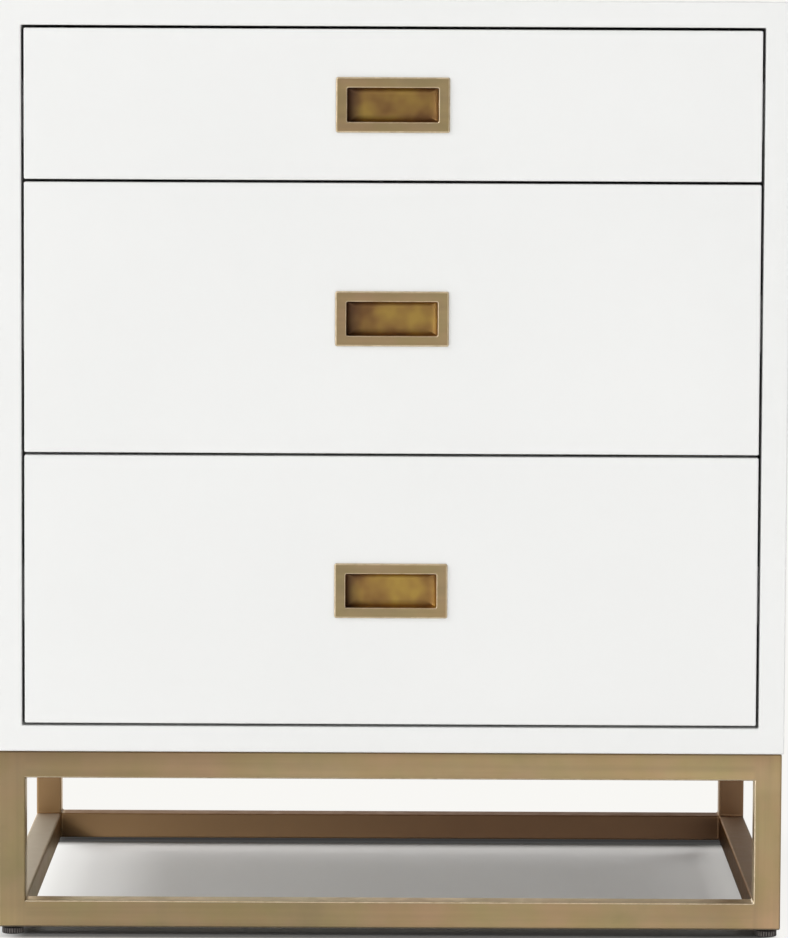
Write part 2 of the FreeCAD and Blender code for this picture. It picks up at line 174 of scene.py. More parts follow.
def stretch_place(tree, place, scale):
    """Stretches the coordinates, so that a texture runs long along the axes with a small scale."""
    stretch = tree.nodes.new("ShaderNodeMapping")
    stretch.inputs["Scale"].default_value = scale
    tree.links.new(place, stretch.inputs["Vector"])
    return stretch.outputs["Vector"]


def mix_colours(tree, factor, first, second, blend="MIX"):
    """Mixes two colours, each a socket or a value, by a factor."""
    mix = tree.nodes.new("ShaderNodeMix")
    mix.data_type = "RGBA"
    mix.blend_type = blend
    for value, socket in ((factor, "Factor"), (first, "A"), (second, "B")):
        if isinstance(value, (float, tuple)):
            mix.inputs[socket].default_value = value
        else:
            tree.links.new(value, mix.inputs[socket])
    return mix.outputs["Result"]


def add_bump(tree, shader, height, strength, distance):
    bump = tree.nodes.new("ShaderNodeBump")
    bump.inputs["Strength"].default_value = strength
    bump.inputs["Distance"].default_value = distance
    tree.links.new(height, bump.inputs["Height"])
    tree.links.new(bump.outputs["Normal"], shader.inputs["Normal"])


def split_place(tree, place):
    """Splits coordinates into X, Y and Z."""
    split = tree.nodes.new("ShaderNodeSeparateXYZ")
    tree.links.new(place, split.inputs[0])
    return split.outputs["X"], split.outputs["Y"], split.outputs["Z"]


def size_of(tree, source):
    """Drops the sign of a value."""
    return add_math(tree, "ABSOLUTE", source, 0.0)


def fade_in(tree, source, start, end):
    """Makes a mask that rises from 0 to 1 between two values."""
    return add_span(tree, source, 0.0, 1.0, start, end)


def fade_out(tree, source, start, end):
    """Makes a mask that falls from 1 to 0 between two values."""
    return add_span(tree, source, 1.0, 0.0, start, end)


def where_all(tree, *masks):
    """Multiplies masks, so that only what lies in all of them counts."""
    shared = masks[0]
    for mask in masks[1:]:
        shared = add_math(tree, "MULTIPLY", shared, mask)
    return shared


def tinted(tree, mask, colour, tint):
    """Multiplies a colour by a tint where the mask is."""
    return mix_colours(tree, mask, colour, tint, "MULTIPLY")


def greys(*stops):
    """Turns (place, level) stops into the stops of a grey ramp."""
    return [(place, (level, level, level)) for place, level in stops]


RUBBED_TONES = (
    (0.30, (0.330, 0.258, 0.142)),
    (0.45, (0.385, 0.290, 0.160)),
    (0.55, (0.395, 0.282, 0.158)),
    (0.70, (0.425, 0.292, 0.172)),
)
SMUDGE_TINTS = ((0.34, (0.955, 0.99, 0.92)), (0.66, (1.04, 1.0, 1.05)))
STROKE_TINTS = ((0.30, (0.90, 0.91, 0.92)), (0.70, (1.10, 1.09, 1.07)))
PAINTED_LIGHT_TO_RIGHT = ((0.0, (0.84, 0.85, 0.84)), (1.0, (1.12, 1.12, 1.10)))
NEAR_FLOOR_LIGHT_TINT = (1.16, 1.17, 1.18, 1)
TARNISH_AND_SHADE_TONES = (
    (0.0, (0.430, 0.275, 0.140)),
    (0.25, (0.350, 0.218, 0.116)),
    (0.6, (0.236, 0.138, 0.078)),
    (0.965, (0.220, 0.130, 0.076)),
    (0.975, (0.282, 0.168, 0.094)),
)
GLANCE = (0.95, 0.88, 0.75, 1)
INNER_SHADE_TINTS = ((0.54, 0.51, 0.50, 1), (0.82, 0.82, 0.80, 1))
INNER_SHADE_GLANCES = ((0.45, 0.37, 0.33, 1), (0.74, 0.68, 0.60, 1))
LOW_EDGE_LIGHT_TINT = (1.24, 1.23, 1.24, 1)
UNDER_CASE_TINTS = (
    (0.0, (1.0, 1.0, 1.0)),
    (0.25, (0.97, 0.97, 0.97)),
    (0.56, (0.93, 0.93, 0.92)),
    (0.75, (0.87, 0.86, 0.84)),
    (0.90, (0.82, 0.80, 0.77)),
    (1.0, (0.80, 0.78, 0.74)),
)
LOW_RAIL_TINTS = greys((0.0, 0.98), (0.32, 0.90), (0.70, 1.03), (0.84, 1.0), (0.93, 0.87), (1.0, 1.0))
HIGH_RAIL_TINTS = greys((0.0, 0.98), (0.18, 0.99), (0.40, 1.13), (0.66, 1.09), (0.90, 1.14), (1.0, 1.06))
DUST_AND_SHEEN_TONES = ((0.43, 0.30, 0.205, 1), (0.60, 0.53, 0.43, 1))
DUSTY_GLANCE = (0.98, 0.96, 0.92, 1)
DUSTY_ROUGHNESS = 0.25
BACK_CORNER_SHADE_TINTS = greys((0.0, 0.18), (0.29, 0.30), (0.53, 0.50), (0.70, 0.78), (0.88, 0.95), (1.0, 1.0))
BACK_CORNER_LEAN = 1.7
LEDGE_HEIGHT = 0.0285


def aged_brass():
    """Plated brass, darkened and rubbed back to olive and rosy drifts, with painted shade on the inner
    faces, at the back and under the case, and painted light low on the front and to the right.
    """
    finish, tree, shader, place = start_finish("aged_brass")
    shader.inputs["Metallic"].default_value = 1.0
    x, y, z = split_place(tree, place)
    half_width = size_of(tree, x)
    half_depth = size_of(tree, y)
    off_ledge = size_of(tree, add_math(tree, "SUBTRACT", z, LEDGE_HEIGHT))
    to_right = fade_in(tree, x, -0.3, 0.3)
    on_left = fade_out(tree, x, -0.281, -0.279)
    in_front = fade_out(tree, y, -0.206, -0.200)
    low_rail = fade_out(tree, z, 0.040, 0.060)
    on_base = fade_out(tree, z, 0.150, 0.151)
    between_legs = fade_out(tree, half_width, 0.2818, 0.2826)

    # The rubbed colour with its smudges, a painted light that lifts it towards the right and near the
    # floor, and strokes along each tube.
    colour = add_ramp(tree, add_noise(tree, place, 9.0, 5.0, 0.6), RUBBED_TONES)
    colour = tinted(tree, 1.0, colour, add_ramp(tree, add_noise(tree, place, 30.0, 3.0), SMUDGE_TINTS))
    colour = tinted(tree, 1.0, colour, add_ramp(tree, to_right, PAINTED_LIGHT_TO_RIGHT))
    colour = tinted(tree, fade_out(tree, z, 0.02, 0.20), colour, NEAR_FLOOR_LIGHT_TINT)
    lying = add_noise(tree, stretch_place(tree, place, (0.02, 1.0, 1.0)), 130.0, 4.0)
    standing = add_noise(tree, stretch_place(tree, place, (1.0, 0.02, 0.02)), 130.0, 4.0)
    strokes = mix_colours(tree, fade_in(tree, half_width, 0.281, 0.284), lying, standing)
    colour = tinted(tree, 1.0, colour, add_ramp(tree, strokes, STROKE_TINTS))

    # Tarnish with painted shade at the back, darker towards the right, and painted shade on the right rail
    # behind its leg.
    tarnish_and_shade = add_ramp(tree, to_right, TARNISH_AND_SHADE_TONES)
    colour = mix_colours(tree, fade_in(tree, y, 0.05, 0.20), colour, tarnish_and_shade)
    behind_leg = add_span(tree, y, 0.0, 0.75, -0.20, -0.17)
    shaded_right_rail = where_all(tree, behind_leg, fade_in(tree, x, 0.281, 0.284))
    colour = mix_colours(tree, shaded_right_rail, colour, tarnish_and_shade)

    # Painted shade on the inner faces and the ledge of the back rail, deeper on the right, in colour and in
    # sheen.
    inner_faces = where_all(
        tree, fade_out(tree, half_width, 0.2832, 0.2845), fade_out(tree, half_depth, 0.198, 0.203)
    )
    back_ledge = where_all(
        tree, fade_in(tree, y, 0.203, 0.206), fade_out(tree, off_ledge, 0.0014, 0.0028), between_legs
    )
    inner_shade = add_math(tree, "MAXIMUM", inner_faces, back_ledge)
    colour = tinted(tree, inner_shade, colour, mix_colours(tree, on_left, *INNER_SHADE_TINTS))

    # Front rails: painted light on the lower edge, the painted shade under the case, and drifts along their
    # length.
    low_edge = where_all(tree, fade_out(tree, z, 0.006, 0.023), in_front)
    colour = tinted(tree, low_edge, colour, LOW_EDGE_LIGHT_TINT)
    under_case = add_ramp(tree, fade_in(tree, z, 0.128, 0.144), UNDER_CASE_TINTS)
    colour = tinted(tree, on_base, colour, under_case)
    low_front = where_all(tree, low_rail, in_front)
    colour = tinted(tree, low_front, colour, add_ramp(tree, to_right, LOW_RAIL_TINTS))
    high_front = where_all(tree, fade_in(tree, z, 0.112, 0.118), on_base, in_front)
    colour = tinted(tree, high_front, colour, add_ramp(tree, to_right, HIGH_RAIL_TINTS))

    # Tops of the side rails, dulled by dust, with a painted sheen on the left and painted shade on the
    # right, and the painted shade in the left corner of the back rail.
    side_top = where_all(
        tree,
        fade_in(tree, half_width, 0.2832, 0.2845),
        fade_out(tree, half_width, 0.3020, 0.3030),
        fade_out(tree, off_ledge, 0.0016, 0.0020),
        fade_out(tree, half_depth, 0.202, 0.206),
    )
    colour = mix_colours(tree, side_top, colour, mix_colours(tree, on_left, *DUST_AND_SHEEN_TONES))
    back_face = where_all(
        tree, fade_in(tree, y, 0.2035, 0.2050), fade_out(tree, y, 0.2075, 0.2090), low_rail, between_legs
    )
    # Painted shade in the back rail's left corner, reaching further along near the bottom.
    leaning = add_math(tree, "ADD", x, add_math(tree, "MULTIPLY", z, BACK_CORNER_LEAN))
    corner_shade = add_ramp(tree, fade_in(tree, leaning, -0.264, -0.230), BACK_CORNER_SHADE_TINTS)
    colour = tinted(tree, back_face, colour, corner_shade)
    tree.links.new(colour, shader.inputs["Base Color"])

    glance = mix_colours(tree, inner_shade, GLANCE, mix_colours(tree, on_left, *INNER_SHADE_GLANCES))
    glance = mix_colours(tree, side_top, glance, DUSTY_GLANCE)
    tree.links.new(glance, shader.inputs["Specular Tint"])
    rub = add_span(tree, add_noise(tree, place, 90.0, 4.0, 0.6), 0.28, 0.38)
    dulled = add_math(tree, "MULTIPLY", side_top, DUSTY_ROUGHNESS)
    tree.links.new(add_math(tree, "ADD", rub, dulled), shader.inputs["Roughness"])
    add_bump(tree, shader, add_noise(tree, place, 1100.0, 2.0), 0.03, 0.0001)
    return finish


WORN_HIGHLIT_TONES = ((0.34, (0.620, 0.490, 0.315)), (0.60, (0.760, 0.620, 0.430)))
BASE_EDGE_HIGHLIGHT_TINT = (1.30, 1.36, 1.45, 1)


def worn_highlit_brass():
    """Brass paler at the edges, where hands and cloths have rubbed the colour off, with darker nicks; on
    the base it is lifted further as a painted highlight.
    """
    finish, tree, shader, place = start_finish("worn_highlit_brass")
    shader.inputs["Metallic"].default_value = 1.0
    wear = add_noise(tree, place, 160.0, 4.0, 0.6)
    on_base = fade_out(tree, split_place(tree, place)[2], 0.15, 0.20)
    colour = tinted(tree, on_base, add_ramp(tree, wear, WORN_HIGHLIT_TONES), BASE_EDGE_HIGHLIGHT_TINT)
    tree.links.new(colour, shader.inputs["Base Color"])
    tree.links.new(add_span(tree, wear, 0.44, 0.34), shader.inputs["Roughness"])
    return finish


def dress(piece, finish, body, slot, *stands_for):
    """Gives a piece its finish, the body that it rides on and the CAD nodes that it stands for."""
    piece.data.materials.clear()
    piece.data.materials.append(finish)
    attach(piece, body)
    if stands_for:
        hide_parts(*stands_for)


def finish_node(name, finish):
    """Gives a CAD node that keeps its own shape its finish."""
    nodes[name].data.materials.clear()
    nodes[name].data.materials.append(finish)


BRASS = aged_brass()
WORN_HIGHLIT_BRASS = worn_highlit_brass()
base_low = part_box("front_left_leg")[0]
base_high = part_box("back_right_leg")[1]
base_frame = add_block("base_frame", base_low, base_high)
pick_faces(base_frame, lambda centre, normal: True)
bpy.ops.mesh.inset(thickness=TUBE, use_individual=True)
bpy.ops.mesh.delete(type="FACE")
take(base_frame)
wall = base_frame.modifiers.new("tube_wall", "SOLIDIFY")
wall.thickness = TUBE
wall.offset = -1
wall.use_even_offset = True
bpy.ops.object.modifier_apply(modifier=wall.name)
bpy.ops.object.mode_set(mode="EDIT")
bpy.ops.mesh.select_all(action="SELECT")
bpy.ops.mesh.remove_doubles(threshold=CLOSE)
bpy.ops.mesh.dissolve_degenerate(threshold=CLOSE)
bpy.ops.mesh.select_all(action="SELECT")
bpy.ops.mesh.normals_make_consistent(inside=False)
ease_edges(base_frame, TUBE_EDGE, EDGE_STEPS)
legs = [corner + "_leg" for corner in CORNERS]
rails = []
for tier in ("top", "bottom"):
    rails += ["base_" + tier + "_" + side + "_rail" for side in ("front", "back", "left", "right")]
dress(base_frame, BRASS, "carcass", "antique_brass", *legs, *rails)
base_frame.data.materials.append(WORN_HIGHLIT_BRASS)
# Rounded front edges turned to the light take the paler brass: wear and a painted highlight.
for face in base_frame.data.polygons:
    rounded = max(abs(part) for part in face.normal) < SQUARE_ON
    lit = face.normal.x < TURNED_AWAY and face.center.z < base_high[2] - TUBE_EDGE
    if rounded and lit and face.center.y < base_low[1] + TUBE:
        face.material_index = 1


# Levelling feet: a moulded pad with a fluted rim for the fingers, on a short neck and a threaded stud that
# screws into a square steel insert pressed up each leg.
PAD_RADIUS = 0.0085
PAD_HEIGHT = 0.005
PAD_EDGE = 0.0007
FLUTES = 26
FLUTE_POINTS = 4
FLUTE_WAIST = 0.93
RIM_POINTS = FLUTE_POINTS * FLUTES
NECK_RADIUS = 0.0055
NECK_HEIGHT = 0.001
STUD_RADIUS = 0.004
STUD_ROOT = 0.0034
THREAD_PITCH = 0.0014
THREAD_TURNS = 20
PAD_TONES = ((0.026, 0.022, 0.021), (0.060, 0.051, 0.047))
LIT_RIM_TONES = ((0.105, 0.092, 0.086), (0.235, 0.212, 0.198))
ZINC_TONES = ((0.30, (0.55, 0.56, 0.575)), (0.70, (0.64, 0.65, 0.655)))


def pick_points(piece, wanted):
    """Opens edit mode with the vertices selected that are wanted."""
    mesh = clear_picks(piece, "VERT")
    for point in mesh.vertices:
        point.select = wanted(point.co)
    bpy.ops.object.mode_set(mode="EDIT")


def pick_edges(piece, wanted):
    """Opens edit mode with the edges selected whose two ends are wanted."""
    mesh = clear_picks(piece, "EDGE")
    for edge in mesh.edges:
        start, end = (mesh.vertices[index].co for index in edge.vertices)
        edge.select = wanted(start, end)
    bpy.ops.object.mode_set(mode="EDIT")


def pull_out(x, y, z):
    """Extrudes what is selected by a straight move."""
    bpy.ops.mesh.extrude_region_move(TRANSFORM_OT_translate={"value": (x, y, z)})


def scale_about(ratio, centre):
    """Scales what is selected about a point."""
    bpy.ops.transform.resize(value=ratio, center_override=centre)


def copy_to(pattern, name, move=(0, 0, 0), turn=None):
    """Copies a finished pattern, mesh and all, and lays the copy in its place."""
    copy = pattern.copy()
    copy.data = pattern.data.copy()
    copy.name = name
    bpy.context.scene.collection.objects.link(copy)
    copy.data.transform(Matrix.Translation(move) @ (turn or Matrix.Identity(4)))
    return copy


def smooth(piece, degrees=35):
    """Smooths the shading across edges that turn by less than an angle."""
    take(piece)
    bpy.ops.object.shade_smooth_by_angle(angle=math.radians(degrees))


def moulded_plastic(name, dark, pale):
    """Glass-filled plastic: a faint mould texture and scuffed, greyer patches."""
    finish, tree, shader, place = start_finish(name)
    scuff = add_noise(tree, place, 260.0, 4.0, 0.6)
    colour = add_ramp(tree, scuff, [(0.35, dark), (0.70, pale)])
    tree.links.new(colour, shader.inputs["Base Color"])
    tree.links.new(add_span(tree, scuff, 0.38, 0.58), shader.inputs["Roughness"])
    add_bump(tree, shader, add_noise(tree, place, 2600.0, 2.0), 0.15, 0.0001)
    return finish


def zinc_plate():
    """Zinc-plated steel: a cool grey with the soft clouding of the plating bath."""
    finish, tree, shader, place = start_finish("zinc_plate")
    shader.inputs["Metallic"].default_value = 1.0
    cloud = add_noise(tree, place, 70.0, 4.0)
    tree.links.new(add_ramp(tree, cloud, ZINC_TONES), shader.inputs["Base Color"])
    tree.links.new(add_span(tree, cloud, 0.32, 0.42), shader.inputs["Roughness"])
    add_bump(tree, shader, add_noise(tree, place, 1500.0, 2.0), 0.05, 0.0001)
    return finish


PLASTIC = moulded_plastic("moulded_plastic", *PAD_TONES)
LIT_RIM_PLASTIC = moulded_plastic("lit_rim_plastic", *LIT_RIM_TONES)
ZINC = zinc_plate()
put_down()
bpy.ops.mesh.primitive_cylinder_add(
    vertices=RIM_POINTS, radius=PAD_RADIUS, depth=PAD_HEIGHT, location=(0, 0, PAD_HEIGHT / 2)
)
bpy.ops.object.transform_apply(location=True, rotation=True, scale=True)
foot_pattern = bpy.context.object
foot_pattern.name = "foot_pattern"
pick_edges(foot_pattern, lambda start, end: abs(start.z - end.z) < CLOSE)
bpy.ops.mesh.bevel(offset=PAD_EDGE, segments=2)
pick_points(
    foot_pattern,
    lambda point: math.hypot(point.x, point.y) > PAD_RADIUS - CLOSE / 2
    and round(math.atan2(point.y, point.x) / math.tau * RIM_POINTS) % FLUTE_POINTS == 0,
)
scale_about((FLUTE_WAIST, FLUTE_WAIST, 1), (0, 0, 0))
pick_faces(foot_pattern, lambda centre, normal: normal.z > SQUARE_ON and centre.length < PAD_HEIGHT + CLOSE)
bpy.ops.mesh.inset(thickness=PAD_RADIUS - PAD_EDGE - NECK_RADIUS)
pull_out(0, 0, NECK_HEIGHT)
bpy.ops.mesh.inset(thickness=NECK_RADIUS - STUD_ROOT)
for turn in range(THREAD_TURNS):
    pull_out(0, 0, THREAD_PITCH / 2)
    scale_about([STUD_RADIUS / STUD_ROOT] * 2 + [1], (0, 0, 0))
    pull_out(0, 0, THREAD_PITCH / 2)
    scale_about([STUD_ROOT / STUD_RADIUS] * 2 + [1], (0, 0, 0))
smooth(foot_pattern)
for corner in CORNERS:
    foot_low, foot_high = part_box(corner + "_foot")
    foot_spot = ((foot_low[0] + foot_high[0]) / 2, (foot_low[1] + foot_high[1]) / 2, 0)
    foot = copy_to(foot_pattern, corner + "_levelling_foot", foot_spot)
    dress(foot, PLASTIC, corner + "_foot", "dark_plastic", corner + "_foot")
    foot.data.materials.append(LIT_RIM_PLASTIC)
    # The outer faces of the fluted rim take the paler plastic, a painted highlight on the ridges.
    for face in foot.data.polygons:
        reach = math.hypot(face.center.x - foot_spot[0], face.center.y - foot_spot[1])
        if reach > PAD_RADIUS - CLOSE and PAD_EDGE < face.center.z < PAD_HEIGHT - PAD_EDGE:
            face.material_index = 1
bpy.data.objects.remove(foot_pattern)
finish_node("foot_inserts", ZINC)


# Case: top, sides and bottom of lacquered board, dowelled at the corners, then filled and sprayed as one,
# so that no joint shows. Every edge is eased before spraying, and the back is rabbeted for its panel.
PANEL = 0.020
BACK_LAP = 0.010
CASE_EDGE = 0.0013
LACQUER_TONES = ((0.35, (0.848, 0.853, 0.844)), (0.65, (0.875, 0.879, 0.870)))
LACQUER_TOP_SHADE = (0.963, 0.963, 0.963, 1)
BIRCH_TONES = (
    (0.28, (0.50, 0.345, 0.195)),
    (0.47, (0.63, 0.465, 0.285)),
    (0.62, (0.69, 0.525, 0.335)),
    (0.78, (0.58, 0.42, 0.25)),
)
BIRCH_PORES = (0.72, 0.60, 0.46, 1)


def white_lacquer():
    """Sprayed satin lacquer: a warm white with a trace of orange peel, and a painted shade that darkens it
    slightly towards the top.
    """
    finish, tree, shader, place = start_finish("white_lacquer")
    colour = add_ramp(tree, add_noise(tree, place, 2.5, 3.0), LACQUER_TONES)
    top_shade = fade_in(tree, split_place(tree, place)[2], 0.15, 0.72)
    colour = tinted(tree, top_shade, colour, LACQUER_TOP_SHADE)
    tree.links.new(colour, shader.inputs["Base Color"])
    haze = add_noise(tree, place, 40.0, 3.0)
    tree.links.new(add_span(tree, haze, 0.30, 0.38), shader.inputs["Roughness"])
    add_bump(tree, shader, add_noise(tree, place, 420.0, 2.0), 0.05, 0.0002)
    return finish


def plain_birch(name, grain_axis):
    """Oiled birch: pale boards with long soft figure and short dark flecks along one axis."""
    finish, tree, shader, place = start_finish(name)
    along = [1.0 if axis == grain_axis else 14.0 for axis in "XYZ"]
    figure = add_noise(tree, stretch_place(tree, place, along), 2.2, 4.0, 0.55)
    flecks = [entry if entry > 1 else 0.6 for entry in along]
    pores = add_noise(tree, stretch_place(tree, place, flecks), 90.0, 2.0)
    flecked = add_span(tree, pores, 0.0, 0.6, 0.55, 0.75)
    colour = tinted(tree, flecked, add_ramp(tree, figure, BIRCH_TONES), BIRCH_PORES)
    tree.links.new(colour, shader.inputs["Base Color"])
    tree.links.new(add_span(tree, figure, 0.46, 0.60), shader.inputs["Roughness"])
    add_bump(tree, shader, pores, 0.12, 0.0002)
    return finish


LACQUER = white_lacquer()
BIRCH_ACROSS = plain_birch("birch_grain_across", "X")
BIRCH_DEEP = plain_birch("birch_grain_front_to_back", "Y")
BIRCH_UP = plain_birch("birch_grain_upright", "Z")
case_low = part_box("bottom_panel")[0]
case_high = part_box("top_panel")[1]
shoulder_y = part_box("back_panel")[0][1]
case_shell = add_block("case_shell", case_low, case_high)
pick_faces(case_shell, lambda centre, normal: normal.y < -SQUARE_ON)
bpy.ops.mesh.inset(thickness=PANEL)
bpy.ops.mesh.delete(type="FACE")
pick_faces(case_shell, lambda centre, normal: normal.y > SQUARE_ON)
bpy.ops.mesh.inset(thickness=PANEL - BACK_LAP)
pull_out(0, shoulder_y - case_high[1], 0)
bpy.ops.mesh.inset(thickness=BACK_LAP)
bpy.ops.mesh.delete(type="FACE")
bpy.ops.mesh.select_mode(type="EDGE")
bpy.ops.mesh.select_all(action="DESELECT")
bpy.ops.mesh.select_non_manifold()
bpy.ops.mesh.bridge_edge_loops()
bpy.ops.mesh.select_all(action="SELECT")
bpy.ops.mesh.normals_make_consistent(inside=False)
ease_edges(case_shell, CASE_EDGE, EDGE_STEPS)
panels = [side + "_panel" for side in ("top", "bottom", "left_side", "right_side")]
dress(case_shell, LACQUER, "carcass", "white_lacquer", *panels)
finish_node("case_dowels", BIRCH_UP)


# Mounting tabs: four flat plates welded into the corners of the base, each drilled for one pan-head screw
# that goes up into the bottom of the case.
BASE_SCREW_RADIUS = 0.003
BASE_HEAD_RADIUS = 0.0055
BASE_HEAD_HEIGHT = 0.0035
SCREW_SIDES = 24
HEAD_DOME = 0.5
POINT_LENGTH = 1.6
POINT_WIDTH = 0.12
CROSS_REACH = 0.62
CROSS_WIDTH = 0.28
CROSS_DEPTH = 0.6
HAIR = 0.00001


def add_round(radius, length, middle, sides):
    """Adds a round bar that runs from front to back, with its place in its mesh."""
    put_down()
    bpy.ops.mesh.primitive_cylinder_add(
        vertices=sides, radius=radius, depth=length, location=middle, rotation=(math.pi / 2, 0, 0)
    )
    bpy.ops.object.transform_apply(location=True, rotation=True, scale=True)
    return bpy.context.object


def cut_out(piece, cutter):
    """Cuts the shape of another object out of a piece, and puts the cutter away."""
    take(piece)
    cut = piece.modifiers.new("cut", "BOOLEAN")
    cut.operation = "DIFFERENCE"
    cut.object = cutter
    bpy.ops.object.modifier_apply(modifier=cut.name)
    bpy.data.objects.remove(cutter)


def make_screw(name, length, radius, head_radius, head_height, sunk=False):
    """Models one screw that points along -Y from its seat, with a domed or sunk head and a cross recess."""
    made = add_round(head_radius, head_height, (0, head_height / 2, 0), SCREW_SIDES)
    made.name = name
    if not sunk:
        pick_edges(made, lambda start, end: min(start.y, end.y) > head_height - HAIR)
        bpy.ops.mesh.bevel(offset=head_height * HEAD_DOME, segments=4)
    pick_faces(made, lambda centre, normal: normal.y < -SQUARE_ON)
    if sunk:
        scale_about([radius / head_radius] * 3, (0, 0, 0))
    else:
        bpy.ops.mesh.inset(thickness=head_radius - radius)
    point = radius * POINT_LENGTH
    pull_out(0, point - length, 0)
    pull_out(0, -point, 0)
    scale_about((POINT_WIDTH, 1, POINT_WIDTH), (0, 0, 0))
    reach = head_radius * CROSS_REACH
    half = head_radius * CROSS_WIDTH / 2
    floor = head_height * (1 - CROSS_DEPTH)
    for wide, tall in ((reach, half), (half, reach)):
        cut_out(made, add_block("driver_blade", (-wide, floor, -tall), (wide, head_height * 2, tall)))
    smooth(made)
    return made


def join_copies(name, copies):
    """Joins the like copies of a pattern into one piece."""
    take(copies[0])
    for copy in copies[1:]:
        copy.select_set(True)
    if len(copies) > 1:
        bpy.ops.object.join()
    copies[0].name = name
    return copies[0]


finish_node("base_mounting_tabs", BRASS)
screw_low, screw_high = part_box("base_screws")
base_seat = screw_low[2] + BASE_HEAD_HEIGHT
base_screw = make_screw(
    "base_screw_pattern", screw_high[2] - base_seat, BASE_SCREW_RADIUS, BASE_HEAD_RADIUS, BASE_HEAD_HEIGHT
)
upward = Matrix.Rotation(-math.pi / 2, 4, "X")
spots = []
for x in (screw_low[0] + BASE_HEAD_RADIUS, screw_high[0] - BASE_HEAD_RADIUS):
    for y in (screw_low[1] + BASE_HEAD_RADIUS, screw_high[1] - BASE_HEAD_RADIUS):
        spots.append((x, y, base_seat))
base_screws = [copy_to(base_screw, "base_pan_screw", spot, upward) for spot in spots]
bpy.data.objects.remove(base_screw)
dress(join_copies("base_pan_screws", base_screws), ZINC, "carcass", "zinc_steel", "base_screws")


# Back: one lacquered sheet let into the rabbet and held by a row of sunk screws along each side. It keeps
# the shape that the CAD gave it, and the screws get their cross recesses.
BACK_HEAD_RADIUS = 0.0034
BACK_SCREW_RADIUS = 0.00175
BACK_ROW_MARGIN = 0.050
BACK_ROW_COUNT = 4
BACK_SCREW_TURN = 0.7


def stations(start, end, count):
    """Evenly spaced places, both ends included."""
    return [start + (end - start) * index / (count - 1) for index in range(count)]


finish_node("back_panel", LACQUER)
screw_low, screw_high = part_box("back_panel_screws")
sink = BACK_HEAD_RADIUS - BACK_SCREW_RADIUS
back_length = screw_high[1] - screw_low[1] - sink
back_screw = make_screw(
    "back_screw_pattern", back_length, BACK_SCREW_RADIUS, BACK_HEAD_RADIUS, sink, sunk=True
)
back_seat = screw_high[1] - sink
left, right = screw_low[0] + BACK_HEAD_RADIUS, screw_high[0] - BACK_HEAD_RADIUS
bottom, top = screw_low[2] + BACK_HEAD_RADIUS, screw_high[2] - BACK_HEAD_RADIUS
spots = []
for x in stations(left + BACK_ROW_MARGIN, right - BACK_ROW_MARGIN, BACK_ROW_COUNT):
    spots += [(x, back_seat, bottom), (x, back_seat, top)]
for z in stations(bottom + BACK_ROW_MARGIN, top - BACK_ROW_MARGIN, BACK_ROW_COUNT):
    spots += [(left, back_seat, z), (right, back_seat, z)]
back_screws = []
for index, spot in enumerate(spots):
    turn = Matrix.Rotation(BACK_SCREW_TURN * index, 4, "Y")
    back_screws.append(copy_to(back_screw, "back_sunk_screw", spot, turn))
bpy.data.objects.remove(back_screw)
dress(join_copies("back_sunk_screws", back_screws), ZINC, "carcass", "zinc_steel", "back_panel_screws")


# Runners: full-extension telescopic slides of rolled steel, zinc plated. The outer rails are screwed to
# the case sides, the inner ones to the drawer sides, and the middle ones run between at half the speed.
DRAWERS = ("top", "middle", "bottom")
RAIL_STEEL = 0.0012
RAIL_MARGIN = 0.035
RAIL_SCREWS = 3
WOOD_SCREW = 0.00175
WOOD_HEAD_RADIUS = 0.0034
WOOD_HEAD_HEIGHT = 0.0015
SCREW_COVER = 0.003
PATTERN_TURNS = {-1: Matrix.Rotation(-math.pi / 2, 4, "Z"), 1: Matrix.Rotation(math.pi / 2, 4, "Z")}


def wood_screw(name, length):
    """Models one of the small pan-head screws that go into wood."""
    return make_screw(name, length, WOOD_SCREW, WOOD_HEAD_RADIUS, WOOD_HEAD_HEIGHT)


case_screw = wood_screw("case_screw_pattern", RAIL_STEEL + PANEL - SCREW_COVER)
slide_screws = []
for drawer in DRAWERS:
    for part in ("fixed", "middle", "drawer"):
        finish_node(drawer + "_slide_" + part + "_rails", ZINC)
    rail_low, rail_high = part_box(drawer + "_slide_fixed_rails")
    rail_level = (rail_low[2] + rail_high[2]) / 2
    for side in (-1, 1):
        for y in stations(rail_low[1] + RAIL_MARGIN, rail_high[1] - RAIL_MARGIN, RAIL_SCREWS):
            seat = (side * (rail_high[0] - RAIL_STEEL), y, rail_level)
            slide_screws.append(copy_to(case_screw, "slide_screw", seat, PATTERN_TURNS[side]))
bpy.data.objects.remove(case_screw)
dress(join_copies("slide_pan_screws", slide_screws), ZINC, "carcass", "zinc_steel", "slide_screws")


